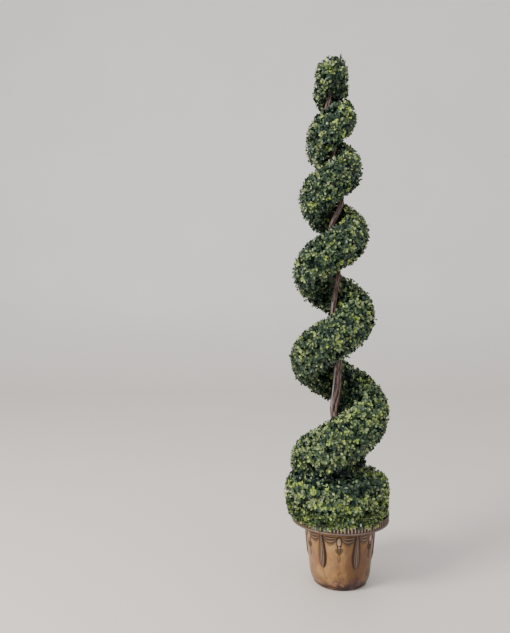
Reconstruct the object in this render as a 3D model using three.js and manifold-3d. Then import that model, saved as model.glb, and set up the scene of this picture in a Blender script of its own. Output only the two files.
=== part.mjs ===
// An artificial boxwood spiral topiary, about five feet tall, in its own bronze-finish pot.
// Millimetres, +Z up. The origin is the middle of the pot's flat underside, and the front is -Y.
// A clipped band of leaves winds up a crooked bundle of vine stems, above a fat ring of leaves on the pot.

import * as THREE from "three";
import { mergeVertices } from "three/addons/utils/BufferGeometryUtils.js";
import Module from "manifold-3d";

const wasm = await Module();
wasm.setup();

const GAP = 0.3; // clearance between neighbouring pieces
const SLIVER = 0.12; // edges shorter than this are closed up
const TURN = 2 * Math.PI;
const GOLDEN_SHARE = (Math.sqrt(5) - 1) / 2;

// The wound band of foliage. "turns" are counted up from a height just above the ring.
const BAND = {
  footHeight: 370, // height of the band's middle line at 0 turns
  footAngle: THREE.MathUtils.degToRad(202),
  pitch: 319, // rise per turn at 0 turns, which then eases off
  pitchEase: 21.8,
  windRadius: 79.6, // from the axis to the band's middle line
  windLess: 10.8,
  windEase: 0.72,
  reach: 68.9, // from the band's middle line to the leaf tips
  reachLess: 4.76,
  reachEase: 0.25,
  mostStretch: 1.35, // a sloping band is taller than it is deep, up to this
  innerRadius: 3, // the band's inner side is clipped flat this far from the axis
  firstTurn: -0.436,
  tipPitch: 165, // rise per turn above tipFrom
  tipFrom: 4.4,
  tipTurn: 5.2,
  axisLow: 3.5, // the band winds about this line right of the pot's middle
  axisHigh: -22.5, // and higher up about this one
  axisFrom: 444,
  axisTo: 782,
};

// Near the tip the band thins where the stems show again, then swells to a ball:
// turns, wind radius and reach.
const TIP_STATIONS = [
  [4.15, 22.4, 53.4],
  [4.42, 28, 45],
  [4.67, 21, 43],
  [4.92, 15, 42],
  [5.2, 3, 50],
];

// A smaller ball in the tip fills its right side, above the last coil.
const SHOULDER = { right: 19, back: 13, below: 43, reach: 33 };

// The ring of foliage that fills the pot's mouth and bulges over its rim.
const RING = {
  radius: 87, // from the ring's centre to the middle of its section
  width: 67, // from there out to the leaf tips
  height: 61,
  middle: 266,
  shift: -8.5, // the ring stands this far to the left of the pot
  moundRadius: 58, // leaves heap up round the stems in the ring's middle
  moundTop: 352,
};
const SQUARENESS = 2.6; // sections of the ring and the tip, between round (2) and square

// Leaves stand out of the clipped cores by this much.
const CORE_DEPTH = 8;
const EDGE = 1.6; // leaves and twigs keep this far from the end of their own mass
const CORE_SIDES = 9;
const CORE_STEPS = 3; // per quarter turn

const STEMS = {
  count: 5, // brown vines round a pale rod
  bundleFoot: 13.5, // outer radius of the bundle
  bundleTip: 9.5,
  vineShare: 0.345, // a vine's radius as a share of the bundle's
  rodShare: 0.255,
  footHeight: 40,
  tipHeight: 1450,
  twist: 620, // height of one full turn of the bundle
  sides: 5,
  steps: 32,
  wave: 7, // the bundle sways away from the band by this much
  waveMore: 11, // and by this much more at its widest sway
  waveHeight: 1100,
  waveSpan: 110,
  lowShift: -12.5, // the crook above the pot, and a second one near the tip
  lowFrom: 240,
  lowTo: 530,
  highShift: -23,
  highFrom: 1160,
  highTo: 1410,
};

const POT = {
  footRadius: 75,
  footHeight: 10,
  baseRadius: 88,
  baseHeight: 34,
  neckRadius: 101,
  neckHeight: 162,
  rimRadius: 142,
  rimBottom: 180,
  rimTop: 205,
  wall: 3.2,
  floor: 5,
  embed: 1.6, // how far the raised ornament sinks into the wall
  sides: 32,
  podCount: 6, // long seed pods round the body, with a pendant between each two
  podAngle: THREE.MathUtils.degToRad(-90 - 38.7),
  podTop: 164,
  podBottom: 66,
  podWidth: 25,
  podProud: 4.5,
  pendantTop: 156,
  pendantBottom: 102,
  pendantWidth: 15,
  pendantProud: 4,
  swagTop: 157,
  swagDrop: 22,
  swagThick: 3.5,
  swagSides: 3,
  swagSteps: 4,
};
const FILL_TOP = 168;

const LEAF = { length: 25, width: 17, thickness: 1.6, widest: 0.55 };
const LEAF_FITS = [
  { tilt: 0.4, size: 1 }, // each leaf takes the first of these that stays in its own space
  { tilt: 0.2, size: 1 },
  { tilt: 0.3, size: 0.8 },
  { tilt: 0.1, size: 0.65 },
];
const TWIG = { length: 16, radius: 1.5, sunk: 8, lean: 0.5, tries: 4 };
// Higher up than lastTurn the band's own core meets the stems.
const BRANCH = { footRadius: 6, tipRadius: 3.5, sides: 6, lastTurn: 1.9 };
const SPRIG_SPREAD = 0.72; // share of the way round a section that takes sprigs, middled outward
const BAND_COVER = 0.85; // share of the band's surface that is not turned to the stems
const SPRIG_AREA = 9000; // square millimetres of clipped surface for each sprig
const SPRIG_RETRY = 0.37; // a sprig that found no room moves this share of the way round

const COLOURS = {
  leaf: 0x3f5f35,
  vine: 0x5b4335,
  rod: 0x8d8780,
  pot: 0xa5794c,
  fill: 0x4a3a2c,
};

// A repeatable stream of numbers from 0 to 1.
function numbersFrom(seed) {
  let state = seed >>> 0;
  return () => {
    state = (state + 0x6d2b79f5) >>> 0;
    let t = Math.imul(state ^ (state >>> 15), state | 1);
    t = (t + Math.imul(t ^ (t >>> 7), t | 61)) ^ t;
    return ((t ^ (t >>> 14)) >>> 0) / 4294967296;
  };
}

function smoothStep(value, from, to) {
  const share = THREE.MathUtils.clamp((value - from) / (to - from), 0, 1);
  return share * share * (3 - 2 * share);
}

function bandHeight(turns) {
  const wound = Math.min(turns, BAND.tipFrom);
  const rise = BAND.pitch * wound - BAND.pitchEase * wound * wound;
  return BAND.footHeight + rise + BAND.tipPitch * Math.max(0, turns - BAND.tipFrom);
}

function bandTurns(height) {
  const top = bandHeight(BAND.tipFrom);
  if (height > top) return BAND.tipFrom + (height - top) / BAND.tipPitch;
  const risen = BAND.pitch ** 2 - 4 * BAND.pitchEase * (height - BAND.footHeight);
  return (BAND.pitch - Math.sqrt(risen)) / (2 * BAND.pitchEase);
}

function bandAngle(turns) {
  return BAND.footAngle + TURN * turns;
}

// The station value between the two stations about a turn; column 1 is wind, column 2 reach.
function tipStation(turns, column) {
  const next = TIP_STATIONS.findIndex((station) => station[0] > turns);
  if (next < 0) return TIP_STATIONS.at(-1)[column];
  const [low, high] = [TIP_STATIONS[next - 1], TIP_STATIONS[next]];
  return THREE.MathUtils.mapLinear(turns, low[0], high[0], low[column], high[column]);
}

function bandWind(turns) {
  if (turns >= TIP_STATIONS[0][0]) return tipStation(turns, 1);
  return BAND.windRadius - BAND.windLess * turns - BAND.windEase * turns * turns;
}

function bandReach(turns) {
  if (turns >= TIP_STATIONS[0][0]) return tipStation(turns, 2);
  return BAND.reach - BAND.reachLess * turns + BAND.reachEase * turns * turns;
}

// How much taller than deep the band is when it is cut upright, for its slope.
function bandStretch(turns) {
  const pitch = (bandHeight(turns + 0.05) - bandHeight(turns - 0.05)) * 10;
  const stretch = Math.hypot(1, pitch / (TURN * bandWind(turns)));
  const fade = 1 - smoothStep(turns, BAND.tipTurn - 0.3, BAND.tipTurn);
  return 1 + (Math.min(stretch, BAND.mostStretch) - 1) * fade;
}

function bandAxis(turns) {
  const share = smoothStep(bandHeight(turns), BAND.axisFrom, BAND.axisTo);
  return THREE.MathUtils.lerp(BAND.axisLow, BAND.axisHigh, share);
}

function outwardAt(angle) {
  return new THREE.Vector3(Math.cos(angle), Math.sin(angle), 0);
}

// A point of the band's upright section, at a depth from its middle line and an angle round it.
function bandPoint(turns, depth, around) {
  const reach = depth * Math.cos(around);
  const away = Math.max(BAND.innerRadius, bandWind(turns) + reach);
  const point = outwardAt(bandAngle(turns)).multiplyScalar(away);
  point.x += bandAxis(turns);
  point.z = bandHeight(turns) + depth * Math.sin(around) * bandStretch(turns);
  return point;
}

function stemPoint(height) {
  const turns = bandTurns(height);
  const angle = bandAngle(turns);
  const bulge = Math.exp(-(((height - STEMS.waveHeight) / STEMS.waveSpan) ** 2));
  const sway = (STEMS.wave + STEMS.waveMore * bulge) * smoothStep(height, STEMS.lowFrom, STEMS.lowTo);
  const shift =
    STEMS.lowShift * smoothStep(height, STEMS.lowFrom, STEMS.lowTo) +
    STEMS.highShift * smoothStep(height, STEMS.highFrom, STEMS.highTo);
  return new THREE.Vector3(shift - sway * Math.cos(angle), -sway * Math.sin(angle), height);
}

function bundleRadius(height) {
  return THREE.MathUtils.mapLinear(
    height,
    STEMS.footHeight,
    STEMS.tipHeight,
    STEMS.bundleFoot,
    STEMS.bundleTip,
  );
}

function stemFrame(height) {
  const step = 2;
  const along = stemPoint(height + step).sub(stemPoint(height - step)).normalize();
  const side = new THREE.Vector3(1, 0, 0);
  side.addScaledVector(along, -side.dot(along)).normalize();
  return { along, side, front: new THREE.Vector3().crossVectors(along, side) };
}

// A cylinder whose rings are put where place(share, angle) says. It is closed by its end caps.
function bentCylinder(sides, steps, place) {
  const geometry = new THREE.CylinderGeometry(1, 1, 1, sides, steps);
  const position = geometry.getAttribute("position");
  for (let i = 0; i < position.count; i += 1) {
    const x = position.getX(i);
    const z = position.getZ(i);
    const share = position.getY(i) + 0.5;
    const point = place(share, Math.atan2(x, z), Math.hypot(x, z));
    position.setXYZ(i, point.x, point.y, point.z);
  }
  return geometry;
}

// A closed three.js geometry as a solid that can be joined and cut.
function solidOf(geometry, matrix = new THREE.Matrix4()) {
  const bare = geometry.clone().applyMatrix4(matrix);
  bare.deleteAttribute("normal");
  bare.deleteAttribute("uv");
  const merged = mergeVertices(bare, 1e-3);
  const solid = new wasm.Manifold(
    new wasm.Mesh({
      numProp: 3,
      vertProperties: new Float32Array(merged.getAttribute("position").array),
      triVerts: new Uint32Array(merged.index.array),
    }),
  );
  if (solid.volume() > 0) return solid;
  const turned = new Uint32Array(merged.index.array);
  for (let i = 0; i < turned.length; i += 3) {
    [turned[i + 1], turned[i + 2]] = [turned[i + 2], turned[i + 1]];
  }
  return new wasm.Manifold(
    new wasm.Mesh({
      numProp: 3,
      vertProperties: new Float32Array(merged.getAttribute("position").array),
      triVerts: turned,
    }),
  );
}

// The largest body of a solid, with loose scraps and sealed hollows dropped and slivers closed.
function wholeBody(solid) {
  const bodies = solid.simplify(SLIVER).decompose();
  return bodies.sort((a, b) => b.volume() - a.volume())[0];
}

function geometryOf(solid) {
  const mesh = solid.getMesh();
  const geometry = new THREE.BufferGeometry();
  geometry.setAttribute("position", new THREE.BufferAttribute(mesh.vertProperties, 3));
  geometry.setIndex(new THREE.BufferAttribute(mesh.triVerts, 1));
  geometry.computeVertexNormals();
  return geometry;
}

const materials = {
  leaf: new THREE.MeshStandardMaterial({ color: COLOURS.leaf, roughness: 0.5 }),
  vine: new THREE.MeshStandardMaterial({ color: COLOURS.vine, roughness: 0.85 }),
  rod: new THREE.MeshStandardMaterial({ color: COLOURS.rod, roughness: 0.6 }),
  pot: new THREE.MeshStandardMaterial({ color: COLOURS.pot, roughness: 0.4, metalness: 0.5 }),
  fill: new THREE.MeshStandardMaterial({ color: COLOURS.fill, roughness: 0.95 }),
};

function named(name, geometry, material) {
  const mesh = new THREE.Mesh(geometry, material);
  mesh.name = name;
  return mesh;
}

// The stems. A vine lies at a fixed place in the bundle, and the whole bundle twists.
function vineGeometry(offsetAngle, offsetShare, radiusShare) {
  return bentCylinder(STEMS.sides, STEMS.steps, (share, angle, rim) => {
    const height = THREE.MathUtils.lerp(STEMS.footHeight, STEMS.tipHeight, share);
    const { side, front } = stemFrame(height);
    const bundle = bundleRadius(height);
    const turned = offsetAngle + (TURN * height) / STEMS.twist;
    const a = bundle * offsetShare * Math.cos(turned) + bundle * radiusShare * rim * Math.cos(angle);
    const b = bundle * offsetShare * Math.sin(turned) + bundle * radiusShare * rim * Math.sin(angle);
    return stemPoint(height).addScaledVector(side, a).addScaledVector(front, b);
  });
}

// What the foliage and the filling are cut clear of: the bundle's outline with a clearance.
function stemSleeve() {
  const sides = 10;
  return solidOf(
    bentCylinder(sides, STEMS.steps, (share, angle, rim) => {
      const height = THREE.MathUtils.lerp(STEMS.footHeight, STEMS.tipHeight, share);
      const { side, front, along } = stemFrame(height);
      const radius = ((bundleRadius(height) + 2 * GAP) * rim) / Math.cos(Math.PI / sides);
      const past = share < 0.001 ? -GAP : GAP * Math.floor(share + 0.001);
      return stemPoint(height)
        .addScaledVector(side, radius * Math.cos(angle))
        .addScaledVector(front, radius * Math.sin(angle))
        .addScaledVector(along, past);
    }),
  );
}

const sleeve = stemSleeve();

function buildStems() {
  const group = new THREE.Group();
  const offset = 1 - STEMS.vineShare;
  for (let i = 0; i < STEMS.count; i += 1) {
    const geometry = vineGeometry((TURN * i) / STEMS.count, offset, STEMS.vineShare);
    group.add(named(`vine_stem_${i + 1}`, geometryOf(solidOf(geometry)), materials.vine));
  }
  const rod = vineGeometry(0, 0, STEMS.rodShare);
  group.add(named("centre_rod", geometryOf(solidOf(rod)), materials.rod));
  return group;
}

// The pot.
function potRadiusAt(height) {
  return THREE.MathUtils.mapLinear(
    height,
    POT.baseHeight,
    POT.neckHeight,
    POT.baseRadius,
    POT.neckRadius,
  );
}

function potShell() {
  const { wall } = POT;
  const lip = POT.rimRadius;
  const profile = [
    [0, 0],
    [POT.footRadius, 0],
    [POT.footRadius + 4, POT.footHeight - 2],
    [POT.footRadius + 3.5, POT.footHeight],
    [POT.footRadius + 7, POT.footHeight + 3],
    [POT.baseRadius - 3, POT.baseHeight - 13],
    [POT.baseRadius, POT.baseHeight],
    [POT.neckRadius, POT.neckHeight],
    [POT.neckRadius + 7, POT.neckHeight + 9],
    [POT.neckRadius + 23, POT.rimBottom - 2],
    [lip - 3, POT.rimBottom],
    [lip, POT.rimBottom + 1],
    [lip, POT.rimTop - 2],
    [lip - 2, POT.rimTop],
    [lip - wall, POT.rimTop - 1],
    [lip - wall - 1, POT.rimBottom + wall + 1],
    [POT.neckRadius + 20, POT.rimBottom + wall - 1],
    [POT.neckRadius + 3, POT.neckHeight + 12],
    [POT.neckRadius - wall, POT.neckHeight],
    [POT.baseRadius - wall, POT.baseHeight],
    [POT.footRadius + 3, POT.floor + 9],
    [POT.footRadius - 4, POT.floor],
    [0, POT.floor],
  ].map(([radius, height]) => new THREE.Vector2(radius, height));
  const upright = new THREE.Matrix4().makeRotationX(Math.PI / 2);
  return solidOf(new THREE.LatheGeometry(profile, POT.sides), upright);
}

// A point on the pot's outside, raised by a height above the wall.
function onPot(angle, height, raise) {
  const radius = potRadiusAt(height) + Math.max(raise, -POT.embed);
  return new THREE.Vector3(radius * Math.cos(angle), radius * Math.sin(angle), height);
}

// A long raised lozenge on the wall, fullest below its middle.
function wallLozenge(angle, top, bottom, width, proud, sides) {
  const geometry = new THREE.SphereGeometry(1, sides, 5);
  const position = geometry.getAttribute("position");
  for (let i = 0; i < position.count; i += 1) {
    const fall = (1 - position.getY(i)) / 2;
    const full = 0.62 + 0.38 * Math.sin(Math.PI * fall ** 1.4);
    const height = THREE.MathUtils.lerp(top, bottom, fall);
    const across = (position.getX(i) * full * width) / 2 / potRadiusAt(height);
    const point = onPot(angle + across, height, position.getZ(i) * proud * full);
    position.setXYZ(i, point.x, point.y, point.z);
  }
  return solidOf(geometry);
}

// A hanging fold between a pod and a pendant.
function swag(fromAngle, toAngle) {
  return solidOf(
    bentCylinder(POT.swagSides, POT.swagSteps, (share, angle, rim) => {
      const drop = POT.swagDrop * 4 * share * (1 - share);
      const half = POT.swagThick * rim;
      const height = POT.swagTop - drop + half * Math.sin(angle);
      return onPot(THREE.MathUtils.lerp(fromAngle, toAngle, share), height, half * Math.cos(angle));
    }),
  );
}

function buildPot() {
  const pieces = [potShell()];
  const space = TURN / POT.podCount;
  for (let i = 0; i < POT.podCount; i += 1) {
    const pod = POT.podAngle + space * i;
    const pendant = pod + space / 2;
    pieces.push(wallLozenge(pod, POT.podTop, POT.podBottom, POT.podWidth, POT.podProud, 6));
    pieces.push(
      wallLozenge(pendant, POT.pendantTop, POT.pendantBottom, POT.pendantWidth, POT.pendantProud, 6),
    );
    pieces.push(swag(pod + space * 0.1, pendant - space * 0.05));
    pieces.push(swag(pendant + space * 0.05, pod + space * 0.9));
  }
  return named("pot", geometryOf(wholeBody(wasm.Manifold.union(pieces))), materials.pot);
}

function buildFilling() {
  const inset = POT.wall + GAP;
  const profile = [
    [0, POT.floor + GAP],
    [POT.footRadius - 6, POT.floor + GAP],
    [POT.footRadius + 1, POT.floor + 10],
    [POT.baseRadius - inset - 0.4, POT.baseHeight],
    [POT.neckRadius - inset - 0.4, POT.neckHeight - 4],
    [POT.neckRadius - inset - 2, FILL_TOP],
    [0, FILL_TOP],
  ].map(([radius, height]) => new THREE.Vector2(radius, height));
  const upright = new THREE.Matrix4().makeRotationX(Math.PI / 2);
  const plug = solidOf(new THREE.LatheGeometry(profile, POT.sides), upright);
  return named("pot_filling", geometryOf(wholeBody(plug.subtract(sleeve))), materials.fill);
}

// The foliage.
const ringCentre = new THREE.Vector3(RING.shift, 0, RING.middle);
const tipCentre = bandPoint(BAND.tipTurn, 0, 0);
const tipBalls = [
  { middle: tipCentre, reach: bandReach(BAND.tipTurn) },
  {
    middle: new THREE.Vector3(SHOULDER.right, SHOULDER.back, -SHOULDER.below).add(tipCentre),
    reach: SHOULDER.reach,
  },
];

// How far a point lies from the middle of the ring's section, as a share of the way to the tips.
function ringShare(point) {
  const across = Math.hypot(point.x - ringCentre.x, point.y - ringCentre.y) - RING.radius;
  const wide = Math.abs(across / RING.width) ** SQUARENESS;
  const tall = Math.abs((point.z - ringCentre.z) / RING.height) ** SQUARENESS;
  return (wide + tall) ** (1 / SQUARENESS);
}

// The distance from the middle of a squared section to its edge, in one direction.
function squared(across, rise) {
  return (Math.abs(across) ** SQUARENESS + Math.abs(rise) ** SQUARENESS) ** (-1 / SQUARENESS);
}

function tipShare(point) {
  const shares = tipBalls.map(({ middle, reach }) => {
    const off = point.clone().sub(middle);
    return 1 / (squared(Math.hypot(off.x, off.y), off.z) * reach);
  });
  return Math.min(...shares);
}

// The coil of the band that a point is deepest in: its turn, and the point's distance from the
// coil's middle line as a share of the reach there.
function nearestBand(point) {
  const near = { share: tipShare(point), turns: BAND.tipTurn };
  const guess = Math.floor(bandTurns(Math.min(point.z, tipCentre.z + 50)));
  for (let turns of [guess - 1, guess, guess + 1, guess + 2]) {
    for (let pass = 0; pass < 3; pass += 1) {
      const angle = Math.atan2(point.y, point.x - bandAxis(turns));
      const off = (angle - bandAngle(turns)) / TURN;
      turns += off - Math.round(off);
    }
    if (turns < BAND.firstTurn || turns > BAND.tipTurn) continue;
    const away = Math.hypot(point.x - bandAxis(turns), point.y) - bandWind(turns);
    const rise = (point.z - bandHeight(turns)) / bandStretch(turns);
    const share = Math.hypot(away, rise) / bandReach(turns);
    if (share < near.share) Object.assign(near, { share, turns });
  }
  return near;
}

function clearOfStems(point, extra) {
  return stemPoint(point.z).distanceTo(point) > bundleRadius(point.z) + extra;
}

function clearOfPot(point) {
  const radius = Math.hypot(point.x, point.y);
  if (point.z > POT.rimTop + 1) return true;
  if (radius > POT.rimRadius + 1) return true;
  return point.z > POT.rimBottom + 9 && radius < POT.rimRadius - 12;
}

// A leaf of eight faces, fullest past its middle, from its foot at 0 to its tip along +X.
function leafSolid(matrix) {
  const geometry = new THREE.OctahedronGeometry(1);
  const position = geometry.getAttribute("position");
  for (let i = 0; i < position.count; i += 1) {
    const x = position.getX(i);
    const along = Math.abs(x) < 0.5 ? LEAF.widest : (x + 1) / 2;
    const y = (position.getY(i) * LEAF.width) / 2;
    const z = (position.getZ(i) * LEAF.thickness) / 2;
    position.setXYZ(i, along * LEAF.length, y, z);
  }
  return solidOf(geometry, matrix);
}

function leafCorners(matrix) {
  const { length, width, widest } = LEAF;
  return [
    [0, 0, 0],
    [length, 0, 0],
    [widest * length, width / 2, 0],
    [widest * length, -width / 2, 0],
  ].map((corner) => new THREE.Vector3(...corner).applyMatrix4(matrix));
}

function basisAt(origin, along, across) {
  const side = across.clone().addScaledVector(along, -across.dot(along)).normalize();
  const face = new THREE.Vector3().crossVectors(along, side);
  return new THREE.Matrix4().makeBasis(along, side, face).setPosition(origin);
}

const madeMasses = []; // later leaves keep off these

function clearOfMade(piece) {
  return madeMasses.every((mass) => mass.intersect(piece).volume() === 0);
}

// One sprig: a three-sided twig out of the core with two opposite leaves and one at its tip.
function sprigSolids(root, outward, spin, random, inSpace) {
  const lean = new THREE.Vector3(random() - 0.5, random() - 0.5, random() - 0.5);
  const along = outward.clone().addScaledVector(lean, TWIG.lean).normalize();
  const foot = root.clone().addScaledVector(along, -TWIG.sunk);
  const across = spin.clone().addScaledVector(along, -spin.dot(along)).normalize();
  across.applyAxisAngle(along, random() * Math.PI);
  const tip = foot.clone().addScaledVector(along, TWIG.length);
  if (!inSpace(tip) || !inSpace(foot)) return [];
  const leaves = [];
  [1, -1, 0].forEach((side) => {
    const start = foot.clone().addScaledVector(along, TWIG.length * (side ? 0.5 : 0.8));
    const lie = side ? across.clone().multiplyScalar(side) : across.clone().cross(along);
    const flat = lie.clone().cross(along);
    for (const { tilt, size } of LEAF_FITS) {
      const way = lie.clone().addScaledVector(along, tilt).normalize();
      const matrix = basisAt(start, way, flat).scale(new THREE.Vector3(size, size, 1));
      const leaf = leafSolid(matrix);
      if (!leafCorners(matrix).every(inSpace) || !clearOfMade(leaf)) continue;
      leaves.push(leaf);
      break;
    }
  });
  const twig = new THREE.CylinderGeometry(TWIG.radius * 0.6, TWIG.radius, TWIG.length, 3);
  const middle = foot.clone().addScaledVector(along, TWIG.length / 2);
  const turn = new THREE.Quaternion().setFromUnitVectors(new THREE.Vector3(0, 1, 0), along);
  const placed = new THREE.Matrix4().makeRotationFromQuaternion(turn).setPosition(middle);
  const twigSolid = solidOf(twig, placed);
  return leaves.length && clearOfMade(twigSolid) ? [twigSolid, ...leaves] : [];
}

// Sprigs dealt evenly over a stretch of clipped surface. surfaceAt(share, angle) gives a point,
// the outward direction and one along the surface.
function sprigsOver(count, seed, surfaceAt, inSpace) {
  const random = numbersFrom(seed);
  const solids = [];
  for (let i = 0; i < count; i += 1) {
    for (let tries = 0; tries < TWIG.tries; tries += 1) {
      const share = (i + 0.3 + 0.4 * random()) / count;
      const round = (GOLDEN_SHARE * (seed + i) + SPRIG_RETRY * tries + 0.1 * random()) % 1;
      const angle = TURN * SPRIG_SPREAD * (round - 0.5);
      const { point, outward, along } = surfaceAt(share, angle);
      const sprig = sprigSolids(point, outward, along, random, inSpace);
      solids.push(...sprig);
      if (sprig.length) break;
    }
  }
  return solids;
}

// The clipped core of a stretch of the band, cut off upright at both ends.
function bandCore(fromTurn, toTurn) {
  const steps = Math.ceil((toTurn - fromTurn) * 4 * CORE_STEPS - 0.01);
  return solidOf(
    bentCylinder(CORE_SIDES, steps, (share, angle, rim) => {
      const turns = THREE.MathUtils.lerp(fromTurn, toTurn, share);
      const depth = (bandReach(turns) - CORE_DEPTH) * rim;
      const along = outwardAt(bandAngle(turns) + Math.PI / 2);
      const trim = (0.5 - share) * GAP;
      return bandPoint(turns, depth, angle + Math.PI / 2).addScaledVector(along, trim);
    }),
  );
}

// The short branch inside a mass, from its middle to the stems.
function branch(turns) {
  const from = bandPoint(turns, 0, 0);
  const way = stemPoint(from.z).sub(from);
  const turn = new THREE.Quaternion().setFromUnitVectors(
    new THREE.Vector3(0, 1, 0),
    way.clone().normalize(),
  );
  const middle = from.addScaledVector(way, 0.5);
  const placed = new THREE.Matrix4().makeRotationFromQuaternion(turn).setPosition(middle);
  const { tipRadius, footRadius, sides } = BRANCH;
  return solidOf(new THREE.CylinderGeometry(tipRadius, footRadius, way.length(), sides), placed);
}

function bandSurface(fromTurn, toTurn) {
  return (share, around) => {
    const turns = THREE.MathUtils.lerp(fromTurn, toTurn, share);
    const out = outwardAt(bandAngle(turns));
    const outward = out.multiplyScalar(Math.cos(around));
    outward.z = Math.sin(around);
    const along = bandPoint(turns + 0.01, 0, 0).sub(bandPoint(turns - 0.01, 0, 0)).normalize();
    outward.addScaledVector(along, -outward.dot(along)).normalize();
    return { point: bandPoint(turns, bandReach(turns) - CORE_DEPTH, around), outward, along };
  };
}

function ballSurface({ middle, reach }) {
  return (share, around) => {
    const rise = 1 - 1.5 * share;
    const across = Math.sqrt(1 - rise * rise);
    const angle = around / SPRIG_SPREAD;
    const outward = outwardAt(angle).multiplyScalar(across);
    outward.z = rise;
    const radius = (reach - CORE_DEPTH) * squared(across, rise);
    const point = middle.clone().addScaledVector(outward, radius);
    return { point, outward, along: outwardAt(angle + Math.PI / 2) };
  };
}

function ballCore({ middle, reach }, extra) {
  const geometry = new THREE.SphereGeometry(1, CORE_SIDES + 1, 6).rotateX(Math.PI / 2);
  const position = geometry.getAttribute("position");
  for (let i = 0; i < position.count; i += 1) {
    const off = new THREE.Vector3().fromBufferAttribute(position, i);
    const away = (reach - CORE_DEPTH + extra) * squared(Math.hypot(off.x, off.y), off.z);
    position.setXYZ(i, off.x * away, off.y * away, off.z * away);
  }
  return solidOf(geometry, new THREE.Matrix4().setPosition(middle));
}

function bandMass(name, fromTurn, toTurn, seed) {
  const isTip = toTurn >= BAND.tipTurn;
  const [startWay, endWay] = [fromTurn, toTurn].map((turns) =>
    outwardAt(bandAngle(turns) + Math.PI / 2),
  );
  const start = bandPoint(fromTurn, 0, 0);
  const end = bandPoint(toTurn, 0, 0);
  const inSpace = (point) => {
    const near = nearestBand(point);
    if (near.share > 1.03 || near.turns < fromTurn || near.turns > toTurn) return false;
    const afterStart = point.clone().sub(start).dot(startWay) > EDGE;
    const beforeEnd = point.clone().sub(end).dot(endWay) < -EDGE;
    if (!isTip && !(afterStart && beforeEnd && tipShare(point) > 1)) return false;
    return clearOfStems(point, 2) && ringShare(point) > 1;
  };
  const middle = (fromTurn + toTurn) / 2;
  const girth = TURN * bandReach(middle);
  const count = Math.round((start.distanceTo(end) * girth * BAND_COVER) / SPRIG_AREA);
  const pieces = [bandCore(fromTurn, toTurn)];
  const nextTurn = Math.min(toTurn + 0.25, BAND.tipTurn);
  if (!isTip) madeMasses.push(bandCore(toTurn, nextTurn)); // leaves keep off the next core as well
  pieces.push(...sprigsOver(count, seed, bandSurface(fromTurn, toTurn), inSpace));
  if (!isTip) madeMasses.pop();
  if (isTip) {
    tipBalls.forEach((ball, i) => {
      const ballCount = Math.round((3 * Math.PI * ball.reach ** 2) / SPRIG_AREA) + 3;
      pieces.push(ballCore(ball, 0), ...sprigsOver(ballCount, seed + 1 + i, ballSurface(ball), inSpace));
    });
  }
  if (middle < BRANCH.lastTurn) pieces.push(branch(middle));
  let body = wasm.Manifold.union(pieces).subtract(sleeve);
  if (!isTip && toTurn > BAND.tipTurn - 1) {
    for (const ball of tipBalls) body = body.subtract(ballCore(ball, 2 * GAP));
  }
  if (bandHeight(fromTurn) < RING.middle + 2.5 * RING.height) body = body.subtract(ringCore(GAP));
  madeMasses.push(wholeBody(body));
  return named(name, geometryOf(madeMasses.at(-1)), materials.leaf);
}

// The ring's core: a squared section round the pot's middle, on a plug that fills the pot's mouth.
function ringCore(extra) {
  const geometry = new THREE.TorusGeometry(RING.radius, 1, CORE_SIDES + 3, 24);
  const position = geometry.getAttribute("position");
  const depth = CORE_DEPTH - extra;
  for (let i = 0; i < position.count; i += 1) {
    const [x, y, z] = [position.getX(i), position.getY(i), position.getZ(i)];
    const across = Math.hypot(x, y) - RING.radius;
    const full = squared(across, z);
    const away = RING.radius + across * full * (RING.width - depth);
    const shrink = away / Math.hypot(x, y);
    position.setXYZ(i, x * shrink, y * shrink, z * full * (RING.height - depth));
  }
  const profile = [
    [0, FILL_TOP + GAP],
    [POT.neckRadius - 8, FILL_TOP + GAP],
    [POT.rimRadius - 24, POT.rimBottom + 6],
    [POT.rimRadius - 8, POT.rimTop - 8],
    [POT.rimRadius - 5, RING.middle - RING.height + 18],
    [RING.radius, RING.middle],
    [RING.moundRadius, RING.middle + RING.height * 0.7],
    [0, RING.moundTop],
  ].map(([radius, height]) => new THREE.Vector2(radius + (radius && extra), height));
  const upright = new THREE.Matrix4().makeRotationX(Math.PI / 2);
  const plug = solidOf(new THREE.LatheGeometry(profile, 24), upright);
  return solidOf(geometry, new THREE.Matrix4().setPosition(ringCentre)).add(plug);
}

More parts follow.
